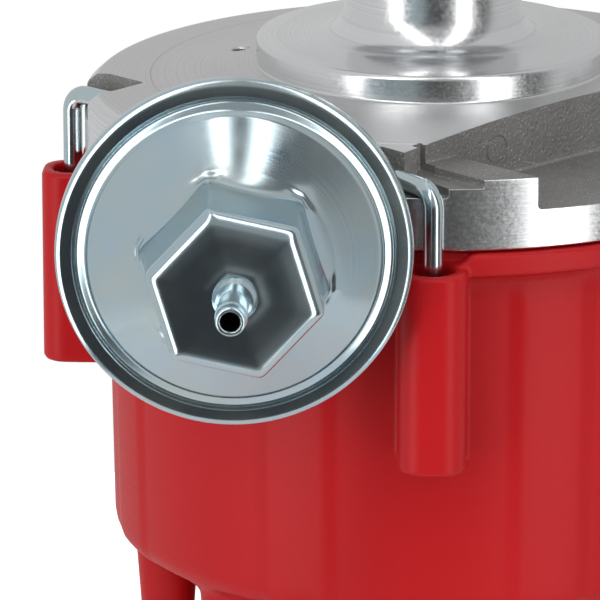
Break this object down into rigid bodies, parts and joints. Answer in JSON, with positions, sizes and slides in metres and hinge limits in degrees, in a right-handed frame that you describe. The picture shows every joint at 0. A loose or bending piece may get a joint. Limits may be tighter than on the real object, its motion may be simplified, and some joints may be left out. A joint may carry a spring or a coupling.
{
  "type": "ignition distributor",
  "caption": "Large-cap ignition distributor with an aluminium housing, drive gear, vacuum advance can, hooked cap latches and a red cap with a coil cover.",
  "frame": {"origin": "centre of the coil cover's flat face, on the shaft's axis; the part stands on that face", "axes": "+Z along the drive shaft, from the cap towards the gear; -Y is the way the vacuum advance can faces; +X to the right seen from the can"},
  "size_m": [0.1519, 0.2019, 0.287],
  "materials": {
    "machined_aluminium": "satin turned, with rough cast pockets",
    "bronze": "sintered, oily",
    "gasket_paper": "matt fibre",
    "rubber": "matt",
    "shaft_steel": "ground",
    "gear_iron": "dark, oiled",
    "zinc_plated_steel": "bright zinc plate with a blue-grey tint",
    "latch_wire": "bright zinc plate",
    "red_cap_plastic": "semi-gloss moulded red",
    "black_plastic": "matt moulded black",
    "brass": "bright",
    "copper_coil": "enamelled copper winding",
    "carbon": "matt carbon and ferrite"
  },
  "bodies": {
    "housing_and_cap": {"housing": "machined_aluminium", "upper_bushing": "bronze", "lower_bushing": "bronze", "mounting_gasket": "gasket_paper", "lead_grommet": "rubber", "vacuum_diaphragm": "rubber", "cover_screw_1": "shaft_steel", "cover_screw_2": "shaft_steel", "cover_screw_3": "shaft_steel", "latch_spring_front": "shaft_steel", "latch_spring_right": "shaft_steel", "latch_spring_back": "shaft_steel", "latch_spring_left": "shaft_steel", "coil_core": "gear_iron", "condenser": "zinc_plated_steel", "vacuum_can_front": "zinc_plated_steel", "vacuum_can_back": "zinc_plated_steel", "vacuum_nipple": "zinc_plated_steel", "vacuum_bracket": "zinc_plated_steel", "distributor_cap": "red_cap_plastic", "coil_cover": "red_cap_plastic", "ignition_module": "black_plastic", "coil_winding": "black_plastic", "battery_blade": "brass", "tach_blade": "brass", "spark_terminal_1": "brass", "spark_terminal_2": "brass", "spark_terminal_3": "brass", "spark_terminal_4": "brass", "spark_terminal_5": "brass", "spark_terminal_6": "brass", "spark_terminal_7": "brass", "spark_terminal_8": "brass", "centre_brush": "carbon"},
    "shaft": {"drive_shaft": "shaft_steel", "drive_gear": "gear_iron", "gear_roll_pin": "shaft_steel", "thrust_washer": "shaft_steel", "advance_cam": "shaft_steel"},
    "timer": {"timer_core": "gear_iron", "weight_plate": "zinc_plated_steel", "advance_spring_a": "shaft_steel", "advance_spring_b": "shaft_steel", "rotor": "red_cap_plastic", "rotor_segment": "brass", "rotor_screw_1": "shaft_steel", "rotor_screw_2": "shaft_steel"},
    "weight_a": {"advance_weight_a": "zinc_plated_steel"},
    "weight_b": {"advance_weight_b": "zinc_plated_steel"},
    "pickup": {"pickup_plate": "zinc_plated_steel", "magnet_ring": "carbon", "pickup_coil": "copper_coil", "pole_piece": "zinc_plated_steel"},
    "vacuum_pull": {"vacuum_link": "shaft_steel", "diaphragm_plate": "zinc_plated_steel", "diaphragm_spring": "shaft_steel"},
    "front_latch": {"latch_front": "latch_wire"},
    "right_latch": {"latch_right": "latch_wire"},
    "back_latch": {"latch_back": "latch_wire"},
    "left_latch": {"latch_left": "latch_wire"}
  },
  "joints": [
    {"name": "shaft_spin", "type": "hinge", "parent": "housing_and_cap", "child": "shaft", "pos_m": [0, 0, 0.137], "axis": [0, 0, 1], "continuous": true},
    {"name": "centrifugal_advance", "type": "hinge", "parent": "shaft", "child": "timer", "pos_m": [0, 0, 0.09], "axis": [0, 0, 1], "range_deg": [0, 12], "stiffness_Nm_per_rad": 0.05},
    {"name": "weight_a_swing", "type": "hinge", "parent": "timer", "child": "weight_a", "pos_m": [0.024, 0, 0.087], "axis": [0, 0, -1], "range_deg": [0, 14.4]},
    {"name": "weight_b_swing", "type": "hinge", "parent": "timer", "child": "weight_b", "pos_m": [-0.024, 0, 0.087], "axis": [0, 0, -1], "range_deg": [0, 14.4]},
    {"name": "vacuum_advance", "type": "hinge", "parent": "housing_and_cap", "child": "pickup", "pos_m": [0, 0, 0.123], "axis": [0, 0, 1], "range_deg": [0, 7.5], "stiffness_Nm_per_rad": 0.5},
    {"name": "vacuum_stroke", "type": "slide", "parent": "housing_and_cap", "child": "vacuum_pull", "axis": [0, -1, 0], "range_m": [0, 0.0052]},
    {"name": "front_latch_turn", "type": "hinge", "parent": "housing_and_cap", "child": "front_latch", "pos_m": [-0.0022, -0.06997, 0.107], "axis": [0, 0, 1], "range_deg": [0, 62]},
    {"name": "right_latch_turn", "type": "hinge", "parent": "housing_and_cap", "child": "right_latch", "pos_m": [0.06997, -0.0022, 0.107], "axis": [0, 0, -1], "range_deg": [0, 110]},
    {"name": "back_latch_turn", "type": "hinge", "parent": "housing_and_cap", "child": "back_latch", "pos_m": [0.00415, 0.06988, 0.107], "axis": [0, 0, 1], "range_deg": [0, 110]},
    {"name": "left_latch_turn", "type": "hinge", "parent": "housing_and_cap", "child": "left_latch", "pos_m": [-0.06988, 0.00415, 0.107], "axis": [0, 0, -1], "range_deg": [0, 110]}
  ],
  "couplings": [
    {"joint": "weight_a_swing", "follows": "centrifugal_advance", "ratio": 1.2},
    {"joint": "weight_b_swing", "follows": "centrifugal_advance", "ratio": 1.2},
    {"joint": "vacuum_stroke", "follows": "vacuum_advance", "m_per_rad": 0.0387}
  ]
}
